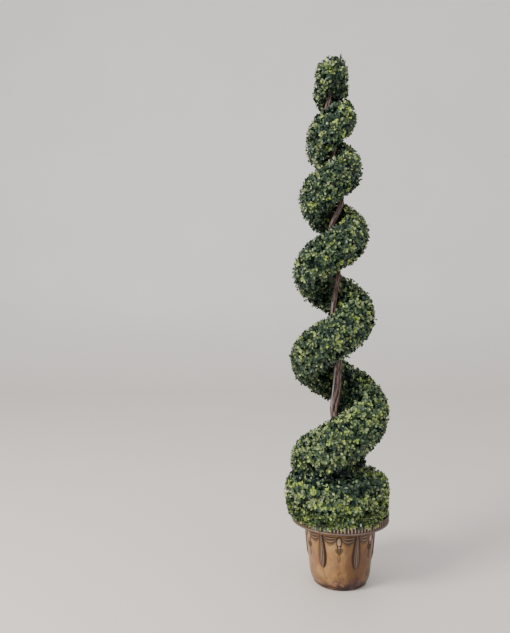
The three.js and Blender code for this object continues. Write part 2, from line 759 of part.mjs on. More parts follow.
function ringMass(name, angle, seed) {
  const span = 400;
  const slice = new THREE.BoxGeometry(span, span, span);
  slice.translate(span / 2 + GAP / 2, span / 2 + GAP / 2, 0);
  const turned = new THREE.Matrix4().makeRotationZ(angle - Math.PI / 4).setPosition(0, 0, RING.middle);
  const across = new THREE.Vector3(Math.cos(angle), Math.sin(angle), 0);
  const inSpace = (point) => {
    const off = Math.abs(point.y * across.x - point.x * across.y);
    if (point.x * across.x + point.y * across.y < off + 1.5 * EDGE) return false;
    if (!clearOfStems(point, 2) || !clearOfPot(point)) return false;
    return nearestBand(point).share > 1 && ringShare(point) < 1.03;
  };
  const surfaceAt = (share, round) => {
    const out = outwardAt(angle + (share - 0.5) * (Math.PI / 2));
    const outward = out.clone().multiplyScalar(Math.cos(round));
    outward.z = Math.sin(round);
    const full = squared(Math.cos(round), Math.sin(round));
    const away = RING.radius + Math.cos(round) * full * (RING.width - CORE_DEPTH);
    const point = ringCentre.clone().addScaledVector(out, away);
    point.z += Math.sin(round) * full * (RING.height - CORE_DEPTH);
    return { point, outward, along: new THREE.Vector3(-out.y, out.x, 0) };
  };
  const area = (TURN / 4) * (RING.radius + 30) * TURN * RING.height * 0.8;
  const sprigs = sprigsOver(Math.round(area / SPRIG_AREA), seed, surfaceAt, inSpace);
  const core = ringCore(0).intersect(solidOf(slice, turned));
  const body = wasm.Manifold.union([core, ...sprigs]).subtract(sleeve);
  madeMasses.push(wholeBody(body));
  return named(name, geometryOf(madeMasses.at(-1)), materials.leaf);
}

function buildFoliage() {
  const group = new THREE.Group();
  ["front", "right", "back", "left"].forEach((side, i) => {
    group.add(ringMass(`ring_foliage_${side}`, (i - 1) * (Math.PI / 2), 11 + i));
  });
  const sides = ["left", "front", "right", "back"];
  const firstFull = BAND.firstTurn + 0.25;
  group.add(bandMass("band_foot", BAND.firstTurn, firstFull, 99));
  const quarters = 20;
  for (let quarter = 0; quarter < quarters; quarter += 1) {
    const from = firstFull + quarter / 4;
    const name = `band_turn_${Math.floor(quarter / 4) + 1}_${sides[quarter % 4]}`;
    group.add(bandMass(name, from, from + 0.25, 100 + quarter));
  }
  group.add(bandMass("band_tip", firstFull + quarters / 4, BAND.tipTurn, 200));
  return group;
}

const topiary = new THREE.Group();
topiary.add(buildPot(), buildFilling(), buildStems(), buildFoliage());

export default topiary;
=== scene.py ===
# A spiral topiary in a bronze pot: small glossy leaves on clipped sprays, crooked vine stems,
# and a cast pot with seed pods, swags and a reeded rim. Lengths in the dictionaries are millimetres.
import math

import bpy
import numpy as np
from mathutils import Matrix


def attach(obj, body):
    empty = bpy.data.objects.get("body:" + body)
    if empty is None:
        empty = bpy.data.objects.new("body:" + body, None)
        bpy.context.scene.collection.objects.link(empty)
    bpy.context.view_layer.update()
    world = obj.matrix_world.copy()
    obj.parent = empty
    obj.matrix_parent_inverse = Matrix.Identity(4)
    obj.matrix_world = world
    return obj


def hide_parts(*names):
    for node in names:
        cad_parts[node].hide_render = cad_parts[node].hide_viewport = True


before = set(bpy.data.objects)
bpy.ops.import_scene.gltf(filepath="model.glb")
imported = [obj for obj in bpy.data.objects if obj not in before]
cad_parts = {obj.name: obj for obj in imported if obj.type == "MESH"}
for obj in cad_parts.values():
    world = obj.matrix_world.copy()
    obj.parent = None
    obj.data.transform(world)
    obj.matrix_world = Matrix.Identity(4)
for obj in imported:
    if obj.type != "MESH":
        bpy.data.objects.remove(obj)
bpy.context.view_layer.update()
mm = 0.001
fullTurn = 2 * math.pi
goldenShare = (math.sqrt(5) - 1) / 2


# Small helpers for meshes and numbers.
def unit(vectors):
    return vectors / np.maximum(np.linalg.norm(vectors, axis=-1, keepdims=True), 1e-9)


def smoothStep(value, low, high):
    share = np.clip((value - low) / (high - low), 0, 1)
    return share * share * (3 - 2 * share)


def bell(value, middle, width):
    return np.exp(-(((value - middle) / width) ** 2))


def squareTo(ways):
    # two directions square to each way and to each other
    helper = np.where(np.abs(ways[:, 2:3]) < 0.9, [0.0, 0, 1], [1.0, 0, 0])
    first = unit(np.cross(ways, helper))
    return first, np.cross(ways, first)


def nearestOf(angle, start, count):
    space = fullTurn / count
    return (angle - start + space / 2) % space - space / 2


def turnedRound(radius, height, angle):
    return np.stack([radius * np.cos(angle), radius * np.sin(angle), height + 0 * angle], axis=-1)


def roundSteps(count):
    return np.arange(count) / count * fullTurn


def goldenAngles(rng, count, stray):
    return fullTurn * ((goldenShare * np.arange(count) + rng.uniform(-stray, stray, count)) % 1) - math.pi


def addObject(name, data):
    made = bpy.data.objects.new(name, data)
    bpy.context.scene.collection.objects.link(made)
    return made


def makeMesh(name, points, faces, materials, faceMaterial=None):
    mesh = bpy.data.meshes.new(name)
    mesh.from_pydata(np.asarray(points) * mm, [], faces)
    for material in materials:
        mesh.materials.append(material)
    if faceMaterial is not None:
        mesh.polygons.foreach_set("material_index", np.asarray(faceMaterial, dtype=np.int32))
    mesh.polygons.foreach_set("use_smooth", np.ones(len(mesh.polygons), dtype=bool))
    mesh.update()
    return addObject(name, mesh)


def makePiece(name, points, faces, materials, slotName, stands=(), faceMaterial=None):
    piece = makeMesh(name, points, faces, materials, faceMaterial)
    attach(piece, "root")
    if stands:
        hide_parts(*stands)
    return piece


def storeNumbers(piece, name, values):
    # points past the given values, as the middles of two caps, take zero
    padded = np.zeros(len(piece.data.vertices), dtype=np.float32)
    padded[:np.size(values)] = np.ravel(values)
    field = piece.data.attributes.new(name, "FLOAT", "POINT")
    field.data.foreach_set("value", padded)


def cappedTube(rings):
    # rings is rows x sides x 3; both ends are closed by a fan
    rows, sides = rings.shape[:2]
    points = np.vstack([rings.reshape(-1, 3), rings[0].mean(axis=0), rings[-1].mean(axis=0)])
    foot, top, last = rows * sides, rows * sides + 1, (rows - 1) * sides
    faces = []
    for low in range(0, last, sides):
        for side in range(sides):
            after = (side + 1) % sides
            faces.append((low + side, low + after, low + sides + after, low + sides + side))
    for side in range(sides):
        after = (side + 1) % sides
        faces.append((foot, after, side))
        faces.append((top, last + side, last + after))
    return points, faces


def ringsAlong(path, first, second, radius, around):
    # rings of points round a path; first and second are square to it
    across, rise = radius * np.cos(around), radius * np.sin(around)
    return path[:, None] + first[:, None] * across[..., None] + second[:, None] * rise[..., None]


def joinMeshes(parts):
    points, faces, start = [], [], 0
    for somePoints, someFaces in parts:
        points.append(somePoints)
        faces.extend(tuple(start + corner for corner in face) for face in someFaces)
        start += len(somePoints)
    return np.vstack(points), faces


# Small helpers for materials.
def addNode(tree, kind, output, inputs, **settings):
    # each input takes a plain value or another node's output
    node = tree.nodes.new("ShaderNode" + kind)
    for name, value in settings.items():
        setattr(node, name, value)
    for name, value in inputs.items():
        if isinstance(value, bpy.types.NodeSocket):
            tree.links.new(value, node.inputs[name])
        else:
            node.inputs[name].default_value = value
    return node.outputs[output]


def startMaterial(name, roughness, metallic=0.0, coat=0.0):
    material = bpy.data.materials.new(name)
    material.use_nodes = True
    shader = material.node_tree.nodes["Principled BSDF"]
    finish = {"Roughness": roughness, "Metallic": metallic, "Coat Weight": coat, "Coat Roughness": 0.3}
    for part, value in finish.items():
        shader.inputs[part].default_value = value
    return material, material.node_tree, shader


def dressShader(tree, shader, base, relief, depth, strength):
    # gives the shader its colour, and a bump of this many millimetres
    bump = {"Distance": depth * mm, "Strength": strength, "Height": relief}
    tree.links.new(addNode(tree, "Bump", "Normal", bump), shader.inputs["Normal"])
    tree.links.new(base, shader.inputs["Base Color"])


def noiseField(tree, scale, detail=4, stretch=(1, 1, 1), harshness=0.5):
    place = addNode(tree, "TexCoord", "Object", {})
    sized = addNode(tree, "Mapping", "Vector", {"Vector": place, "Scale": stretch})
    inputs = {"Vector": sized, "Scale": scale, "Detail": detail, "Roughness": harshness}
    return addNode(tree, "TexNoise", "Fac", inputs)


def colourRamp(tree, field, stops):
    ramp = tree.nodes.new("ShaderNodeValToRGB")
    elements = ramp.color_ramp.elements
    while len(elements) < len(stops):
        elements.new(0.5)
    for element, (place, colour) in zip(elements, stops):
        element.position = place
        element.color = (*colour, 1)
    tree.links.new(field, ramp.inputs["Fac"])
    return ramp.outputs["Color"]


def mixColours(tree, share, first, second):
    first, second = ((*colour, 1) if isinstance(colour, tuple) else colour for colour in (first, second))
    return addNode(tree, "Mix", 2, {0: share, 6: first, 7: second}, data_type="RGBA")


def numbersTo(tree, field, low, high, outLow=0.0, outHigh=1.0):
    ends = {"From Min": low, "From Max": high, "To Min": outLow, "To Max": outHigh}
    return addNode(tree, "MapRange", "Result", {"Value": field, **ends})


def storedField(tree, name):
    return addNode(tree, "Attribute", "Fac", {}, attribute_name=name)


# The camera stands where the photograph was taken from.
view = {"place": (-249.4, -1882, 828), "lens": 36.4, "lower": 0.0292}
cameraData = bpy.data.cameras.new("camera")
cameraData.lens = view["lens"]
cameraData.sensor_width = 36
cameraData.shift_y = -view["lower"]
camera = addObject("camera", cameraData)
camera.location = [side * mm for side in view["place"]]
camera.rotation_euler = (math.pi / 2, 0, 0)
bpy.context.scene.camera = camera

# The same winding rule as the solid model: turns are counted up the band.
band = {
    "footHeight": 370, "footAngle": math.radians(202), "pitch": 319, "pitchEase": 21.8,
    "wind": 79.6, "windLess": 10.8, "windEase": 0.72,
    "reach": 68.9, "reachLess": 4.76, "reachEase": 0.25, "mostStretch": 1.35, "inner": 3,
    "firstTurn": -0.436, "tipPitch": 165, "tipFrom": 4.4, "tipTurn": 5.2, "tipFade": 0.3,
    "axisLow": 3.5, "axisHigh": -22.5, "axisSpan": (444, 782),
}
# Near the tip, at each turn: how far the band winds out, and its reach.
tipStations = np.array([[4.15, 22.4, 53.4], [4.42, 28, 45], [4.67, 21, 43], [4.92, 15, 42], [5.2, 3, 50]])
shoulder = {"right": 19, "back": 13, "below": 43, "reach": 33}  # a smaller ball beside the tip
ring = {
    "radius": 87, "width": 67, "height": 61, "middle": 266, "shift": -8.5, "crowding": 1.8,
    "moundWide": 66, "moundTop": 352, "moundDrop": 34, "moundCrowding": 1.2,
}
squareness = 2.6
ringTurn = -1.0  # stands for the ring where a spray's turn is asked


def bandHeight(turns):
    wound = np.minimum(turns, band["tipFrom"])
    rise = band["pitch"] * wound - band["pitchEase"] * wound**2
    return band["footHeight"] + rise + band["tipPitch"] * np.maximum(0, turns - band["tipFrom"])


def bandTurns(height):
    top = bandHeight(band["tipFrom"])
    risen = band["pitch"] ** 2 - 4 * band["pitchEase"] * (np.minimum(height, top) - band["footHeight"])
    below = (band["pitch"] - np.sqrt(risen)) / (2 * band["pitchEase"])
    return np.where(height > top, band["tipFrom"] + (height - top) / band["tipPitch"], below)


def bandAngle(turns):
    return band["footAngle"] + fullTurn * turns


def withTip(turns, coiled, column):
    nearTip = np.interp(turns, tipStations[:, 0], tipStations[:, column])
    return np.where(turns < tipStations[0, 0], coiled, nearTip)


def bandWind(turns):
    return withTip(turns, band["wind"] - band["windLess"] * turns - band["windEase"] * turns**2, 1)


def bandReach(turns):
    return withTip(turns, band["reach"] - band["reachLess"] * turns + band["reachEase"] * turns**2, 2)


def bandStretch(turns):
    pitch = (bandHeight(turns + 0.05) - bandHeight(turns - 0.05)) * 10
    stretch = np.hypot(1, pitch / (fullTurn * bandWind(turns)))
    fade = 1 - smoothStep(turns, band["tipTurn"] - band["tipFade"], band["tipTurn"])
    return 1 + (np.minimum(stretch, band["mostStretch"]) - 1) * fade


def bandAxis(turns):
    share = smoothStep(bandHeight(turns), *band["axisSpan"])
    return band["axisLow"] + (band["axisHigh"] - band["axisLow"]) * share


def bandPoint(turns, reach, around):
    # a point of the band: at this reach from its middle line, this far round it
    away = np.maximum(band["inner"], bandWind(turns) + reach * np.cos(around))
    angle = bandAngle(turns)
    rise = reach * np.sin(around) * bandStretch(turns)
    across = bandAxis(turns) + away * np.cos(angle)
    return np.stack([across, away * np.sin(angle), bandHeight(turns) + rise], axis=-1)


def squared(across, rise):
    return (np.abs(across) ** squareness + np.abs(rise) ** squareness) ** (-1 / squareness)


def ringShare(points):
    across = np.hypot(points[:, 0] - ring["shift"], points[:, 1]) - ring["radius"]
    return 1 / squared(across / ring["width"], (points[:, 2] - ring["middle"]) / ring["height"])


tipMiddle = bandPoint(np.array([band["tipTurn"]]), 0, 0)[0]
tipBalls = [
    (tipMiddle, bandReach(band["tipTurn"])),
    (tipMiddle + [shoulder["right"], shoulder["back"], -shoulder["below"]], shoulder["reach"]),
]


def bandShare(points):
    # how deep each point lies in the nearest coil: 0 at its middle line, 1 at the leaf tips
    nearest = np.full(len(points), np.inf)
    for middle, reach in tipBalls:
        off = points - middle
        nearest = np.minimum(nearest, 1 / squared(np.hypot(off[:, 0], off[:, 1]), off[:, 2]) / reach)
    guess = np.floor(bandTurns(np.minimum(points[:, 2], tipMiddle[2] + 50)))
    for step in (-1, 0, 1, 2):
        turns = guess + step
        for _ in range(3):
            angle = np.arctan2(points[:, 1], points[:, 0] - bandAxis(turns))
            apart = (angle - bandAngle(turns)) / fullTurn
            turns = turns + apart - np.round(apart)
        away = np.hypot(points[:, 0] - bandAxis(turns), points[:, 1]) - bandWind(turns)
        rise = (points[:, 2] - bandHeight(turns)) / bandStretch(turns)
        share = np.hypot(away, rise) / bandReach(turns)
        wound = (turns >= band["firstTurn"]) & (turns <= band["tipTurn"])
        nearest = np.where(wound, np.minimum(nearest, share), nearest)
    return nearest


# The stems sway away from the band and twist round each other. Pairs of heights say where a change
# starts and ends.
stems = {
    "count": 5, "bundleFoot": 13.5, "bundleTip": 9.5, "foot": 40, "tip": 1450, "twist": 620,
    "sway": 7, "swayMore": 11, "swayHeight": 1100, "swaySpan": 110,
    "lowShift": -12.5, "lowSpan": (240, 530), "highShift": -23, "highSpan": (1160, 1410),
    "bow": 5, "bowHeight": 548, "bowSpan": 60, "slimmer": 0.3, "slimSpan": (600, 740),
    "vineShare": 0.345, "rodShare": 0.2, "rodShownAt": 570, "rodShownSpan": 95, "rodSide": math.radians(206),
    "rows": 430, "sides": 12, "ridge": 0.14, "rough": 0.055, "swell": 0.10, "knots": 12, "knotSwell": 0.2,
    # shade and shadeSpan darken the bark higher up the stems: painted shade
    "shade": 0.3, "shadeSpan": (640, 760),
    "light": (0.46, 0.35, 0.31), "middle": (0.225, 0.142, 0.12), "dark": (0.05, 0.03, 0.026),
}


def stemPoint(height):
    angle = bandAngle(bandTurns(height))
    low = smoothStep(height, *stems["lowSpan"])
    sway = (stems["sway"] + stems["swayMore"] * bell(height, stems["swayHeight"], stems["swaySpan"])) * low
    shift = stems["lowShift"] * low + stems["highShift"] * smoothStep(height, *stems["highSpan"])
    shift = shift + stems["bow"] * bell(height, stems["bowHeight"], stems["bowSpan"])
    return np.stack([shift - sway * np.cos(angle), -sway * np.sin(angle), height + 0 * angle], axis=-1)


def bundleRadius(height):
    return np.interp(height, [stems["foot"], stems["tip"]], [stems["bundleFoot"], stems["bundleTip"]])


def fromStems(points):
    return np.linalg.norm(stemPoint(points[:, 2]) - points, axis=1) - bundleRadius(points[:, 2])


# Leaves: an outline of eight faces, folded along the rib. Sprays carry them in crossed pairs.
leaf = {
    "outline": np.array([
        [0, 0, 0], [0.55, 0, -0.05], [1, 0, -0.12],
        [0.2, 0.28, 0.02], [0.55, 0.5, 0.07], [0.87, 0.32, 0.0],
        [0.2, -0.28, 0.02], [0.55, -0.5, 0.07], [0.87, -0.32, 0.0],
    ]),
    "faces": np.array([
        [1, 0, 6], [1, 6, 7], [1, 7, 8], [1, 8, 2], [1, 2, 5], [1, 5, 4], [1, 4, 3], [1, 3, 0],
    ]),
    "end": 2, "outer": (2, 4, 7), "slimness": 0.7, "sizes": (0.8, 1.12), "widths": (0.9, 1.1),
    "cups": (0.4, 1.5), "openStray": 12, "turnStray": 0.2, "wayStray": 0.12, "faceStray": 0.2,
    "footStray": 1.2, "missing": 0.06, "toneShifts": [-1, 0, 0, 0, 1],
}
# Each pair up a spray: distance back from its tip, leaf length, degrees from the twig.
pairs = [(0, 10, 44), (4.5, 13, 61), (10.5, 14.5, 71), (17.5, 14.5, 77)]
spray = {
    "areaEach": 165, "tipInset": 7.5, "insetStray": (-1, 2.5), "footInset": 31, "lean": 0.25,
    "stray": 0.03, "strayOut": 6, "shortBy": 13, "fromStems": 3, "buried": 0.93,
    "mostFat": 2.2, "leastRoom": 0.25, "ballShare": 0.9,
}
# Base colours, darkest first, and which of them the pairs of each kind of spray take, tip first.
leafTones = {
    "leafDeep": (0.012, 0.028, 0.022),
    "leafDark": (0.023, 0.054, 0.031),
    "leafMiddle": (0.062, 0.110, 0.046),
    "leafSage": (0.228, 0.288, 0.112),
    "leafYoung": (0.38, 0.5, 0.105),
}
youngest = len(leafTones) - 1
sprayKinds = np.array([[1, 1, 0, 0], [2, 1, 1, 0], [3, 2, 1, 0], [3, 3, 2, 1], [4, 4, 3, 2]])
# How often each kind of spray is dealt: in the open, where shade is painted, where light is painted on upper
# sides, and on the ring.
kindShares = {
    "open": (0.19, 0.34, 0.29, 0.12, 0.06),
    "shade": (0.62, 0.28, 0.09, 0.01, 0.00),
    "upper": (0.06, 0.20, 0.34, 0.28, 0.12),
    "ring": (0.05, 0.15, 0.25, 0.34, 0.21),
}


def leafMaterials():
    made = []
    for name, colour in leafTones.items():
        material, tree, shader = startMaterial(name, 0.42, coat=0.12)
        darker = tuple(0.72 * part for part in colour)
        lighter = tuple(1.28 * part for part in colour)
        base = colourRamp(tree, noiseField(tree, 160), [(0.35, darker), (0.65, lighter)])
        dressShader(tree, shader, base, noiseField(tree, 420, 2), 0.3, 0.25)
        made.append(material)
    return made


def growLeaves(rng, tips, ways, kinds):
    # returns each leaf's corner points, its tone and its spray
    count = len(tips)
    first, second = squareTo(ways)
    spin = rng.uniform(0, fullTurn, count)
    corners, tones, owners = [], [], []
    for level, (back, length, opening) in enumerate(pairs):
        for side in (0, math.pi):
            turned = spin + side + level * math.pi / 2 + rng.normal(0, leaf["turnStray"], count)
            sideways = first * np.cos(turned)[:, None] + second * np.sin(turned)[:, None]
            spread = np.radians(opening + rng.normal(0, leaf["openStray"], count))[:, None]
            along = ways * np.cos(spread) + sideways * np.sin(spread)
            along = unit(along + rng.normal(0, leaf["wayStray"], (count, 3)))
            face = ways * np.sin(spread) - sideways * np.cos(spread)
            face = unit(face + rng.normal(0, leaf["faceStray"], (count, 3)))
            across = unit(np.cross(face, along))
            face = np.cross(along, across)
            size = length * rng.uniform(*leaf["sizes"], count)
            wide = size * leaf["slimness"] * rng.uniform(*leaf["widths"], count)
            cup = size * rng.uniform(*leaf["cups"], count)
            stray = leaf["footStray"]
            foot = tips - ways * (back + rng.uniform(-stray, stray, (count, 1)))
            corner = foot[:, None, :]
            for part, (reach, way) in enumerate(((size, along), (wide, across), (cup, face))):
                corner = corner + np.outer(reach, leaf["outline"][:, part])[..., None] * way[:, None, :]
            stay = rng.random(count) > leaf["missing"]
            corners.append(corner[stay])
            tone = sprayKinds[kinds[stay], level]
            shift = rng.choice(leaf["toneShifts"], len(tone)) * (tone < youngest)
            tones.append(np.where(tone < youngest, np.clip(tone + shift, 0, youngest - 1), tone))
            owners.append(np.flatnonzero(stay))
    return np.concatenate(corners), np.concatenate(tones), np.concatenate(owners)


def clearOfPot(points):
    radius, height = np.hypot(points[:, 0], points[:, 1]), points[:, 2]
    rim, low = pot["rimRadius"], pot["rimBottom"]
    outside = (radius > rim + 1.5) & (height > low + 6)
    inside = (radius < rim - 5) & (height > low + 5)
    return (height > pot["rimTop"] + 0.5) | outside | inside


# Where sprays take darker or lighter kinds, which paints shade and light into the leaf colours; the first
# five numbers place a painted cast shadow on the front of the ring, under the lowest turn. A pair says where
# a change
# starts and ends: a height, a place across the plant, or how far a spray points up or out.
shading = {
    "shadowAngle": math.radians(-80), "shadowSpan": 0.66, "shadowHeight": 324, "shadowTall": 36, "shadowMost": 1.7,
    "crowded": (1.05, 1.7), "under": (-0.85, -0.05), "underRing": 0.2, "underBand": 0.75, "ringTop": 300,
    "bandFrom": (330, 420), "highFrom": (600, 900), "highTo": (1380, 1450), "highShade": 0.42,
    "inner": (-0.7, 0.1), "innerShade": 0.7, "sunnySide": (-20, 50), "sunnyUp": (-0.15, 0.55),
    "sunny": 0.6, "rim": (190, 262), "ring": (320, 400), "low": (400, 700), "lowUpper": 0.25,
    "up": (0, 0.9), "upUpper": 0.3,
}


def changed(value, name):
    return smoothStep(value, *shading[name])


def sprayKind(rng, points, ways, crowding):
    # undersides, folds between two masses, the painted cast shadow on the ring, the band's inner side and
    # the higher turns' left sides are darker as painted shade; upper and right-hand sides are lighter as
    # painted light.
    # Low turns and the ring are lighter too, and the rim darker again
    height, upward = points[:, 2], ways[:, 2]
    angle = np.arctan2(points[:, 1], points[:, 0])
    outward = ways[:, 0] * np.cos(angle) + ways[:, 1] * np.sin(angle)
    # painted cast shadow on the front of the ring, under the lowest turn
    castShadow = bell(angle, shading["shadowAngle"], shading["shadowSpan"])
    castShadow = castShadow * bell(height, shading["shadowHeight"], shading["shadowTall"])
    fold = np.maximum(1 - changed(crowding, "crowded"), np.minimum(shading["shadowMost"] * castShadow, 1))
    under = np.where(height < shading["ringTop"], shading["underRing"], shading["underBand"])
    under = (1 - changed(upward, "under")) * under
    high = changed(height, "highFrom") * (1 - changed(height, "highTo"))
    onBand = changed(height, "bandFrom")
    inner = (1 - changed(outward, "inner")) * onBand
    # painted light on right-hand, upward sides of the band
    sunny = changed(points[:, 0], "sunnySide") * changed(upward, "sunnyUp") * (1 - inner)
    # painted shade on the higher turns away from the right and on the band's inner side
    paintedShade = np.maximum(shading["highShade"] * high * (1 - sunny), shading["innerShade"] * inner)
    shade = np.maximum(np.maximum(under, fold), paintedShade)
    ringed = (1 - changed(height, "ring")) * changed(height, "rim")
    ringed = (1 - shade) * np.maximum(ringed, shading["sunny"] * sunny * onBand)
    upper = changed(upward, "up") * shading["upUpper"] + shading["lowUpper"] * (1 - changed(height, "low"))
    upper = upper * (1 - shade - ringed)
    shares = np.outer(1 - shade - ringed - upper, kindShares["open"])
    for share, name in ((shade, "shade"), (upper, "upper"), (ringed, "ring")):
        shares += np.outer(share, kindShares[name])
    chance = rng.random((len(points), 1))
    return np.minimum((np.cumsum(shares, axis=1) < chance).sum(axis=1), len(sprayKinds) - 1)


def bandSprays(rng):
    fine = np.linspace(band["firstTurn"], band["tipTurn"], 700)
    run = np.linalg.norm(np.gradient(bandPoint(fine, 0, 0), axis=0), axis=1)
    girth = fullTurn * bandReach(fine) * (1 + bandStretch(fine)) / 2
    weight = run * girth * np.minimum(1 + bandReach(fine) / bandWind(fine), spray["mostFat"])
    count = int(weight.sum() / spray["areaEach"])
    # evenly dealt turns, more of them where the band is fatter
    total = np.concatenate([[0], np.cumsum((weight[1:] + weight[:-1]) / 2)])
    places = (np.arange(count) + rng.uniform(0.1, 0.9, count)) / count
    turns = np.interp(places * total[-1], total, fine)
    around = goldenAngles(rng, count, 0.06)
    fatness = bandReach(turns) / bandWind(turns)
    room = (1 + fatness * np.cos(around)) / np.minimum(1 + fatness, spray["mostFat"])
    keep = rng.random(count) < np.maximum(room, spray["leastRoom"])
    turns, around = turns[keep], around[keep]
    ways = turnedRound(np.cos(around), np.sin(around) / bandStretch(turns), bandAngle(turns))
    along = unit(bandPoint(turns + 0.01, 0, 0) - bandPoint(turns - 0.01, 0, 0))
    ways = unit(ways - along * np.sum(ways * along, axis=1, keepdims=True))
    return bandPoint(turns, bandReach(turns), around), ways, turns


def ballSprays(rng, middle, size):
    # all round a ball except at its foot
    count = int(4 * spray["ballShare"] * math.pi * size**2 / spray["areaEach"])
    rise = 1 - 2 * spray["ballShare"] * (np.arange(count) + rng.random(count)) / count
    across = np.sqrt(1 - rise**2)
    ways = turnedRound(across, rise, fullTurn * goldenShare * np.arange(count))
    points = middle + ways * (size * squared(across, rise))[:, None]
    return points, ways, np.minimum(bandTurns(points[:, 2]), band["tipTurn"])


def ringSprays(rng):
    area = fullTurn * ring["radius"] * fullTurn * ring["height"] * ring["crowding"]
    count = int(area / spray["areaEach"])
    angle = fullTurn * (np.arange(count) + rng.uniform(0.1, 0.9, count)) / count
    around = goldenAngles(rng, count, 0.05)
    across, rise = np.cos(around), np.sin(around)
    full = squared(across, rise)
    away = ring["radius"] + across * full * ring["width"]
    keep = rng.random(count) < away / (ring["radius"] + ring["width"])
    out = turnedRound(1, 0, angle)
    points = out * away[:, None] + [ring["shift"], 0, ring["middle"]]
    points[:, 2] += rise * full * ring["height"]
    steep = squareness - 1
    ways = out * (np.sign(across) * np.abs(across) ** steep)[:, None]
    ways[:, 2] = np.sign(rise) * np.abs(rise) ** steep
    return points[keep], unit(ways)[keep]


def moundSprays(rng):
    count = int(math.pi * ring["moundWide"] ** 2 * ring["moundCrowding"] / spray["areaEach"])
    away = ring["moundWide"] * np.sqrt((np.arange(count) + 0.5) / count)
    angle = fullTurn * goldenShare * np.arange(count)
    drop = (away / ring["moundWide"]) ** 2
    points = turnedRound(away, ring["moundTop"] - ring["moundDrop"] * drop, angle)
    return points + [ring["shift"] / 2, 0, 0], unit(turnedRound(drop, 0.8, angle))


# Short sprays that hang over the rim, most on its left and along its front and back.
fringe = {
    "count": 900, "drop": 12, "tall": 26, "leftAt": math.radians(216), "leftSpan": (0.5, 1.1),
    "frontHang": 0.7, "frontSpan": (0.6, 0.85), "over": 1.4, "out": 9, "frontOut": 2.5, "upperOut": 5,
    "down": 0.2, "downOver": 0.6, "frontUp": 0.65, "inward": 0.4, "stray": 0.12,
}


def fringeSprays(rng):
    angle = fullTurn * (np.arange(fringe["count"]) + rng.random(fringe["count"])) / fringe["count"]
    hang = 1 - smoothStep(np.abs(nearestOf(angle, fringe["leftAt"], 1)), *fringe["leftSpan"])
    front = smoothStep(np.abs(np.sin(angle)), *fringe["frontSpan"])
    hang = np.maximum(hang, fringe["frontHang"] * front)
    over = np.minimum(fringe["over"] * hang, 1)
    droop = over * (1 - fringe["frontUp"] * front)
    out = turnedRound(1, 0, angle)
    risen = rng.random(len(angle))
    reach = (fringe["out"] + fringe["frontOut"] * front) * over
    lowest = pot["rimRadius"] + rng.uniform(-5, 1, len(angle)) + reach
    points = out * (lowest * (1 - risen) + (pot["rimRadius"] + fringe["upperOut"]) * risen)[:, None]
    points[:, 0] += ring["shift"] * risen
    points[:, 2] = pot["rimTop"] - fringe["drop"] * hang * (1 - risen) + fringe["tall"] * risen
    way = out * (1 - fringe["inward"] * droop)[:, None]
    way[:, 2] = -fringe["down"] - fringe["downOver"] * droop * (1 - risen)
    return points, unit(way + rng.normal(0, fringe["stray"], way.shape))


# Middle and size of two clumps of inner leaves that take the darkest kinds as painted shade: behind the
# stems where the lowest turn leaves them, and under that turn.
clumps = [(np.array([13, 24, 501]), 28), (np.array([57, -6, 349]), 22)]


def growGroup(rng, tips, ways, turns, crowding):
    kinds = sprayKind(rng, tips, ways, crowding)
    corners, tones, owners = growLeaves(rng, tips, ways, kinds)
    stay = fromStems(corners[:, leaf["end"]]) > 1
    for corner in leaf["outer"]:
        stay &= clearOfPot(corners[:, corner])
    return corners[stay], tones[stay], turns[owners[stay]]


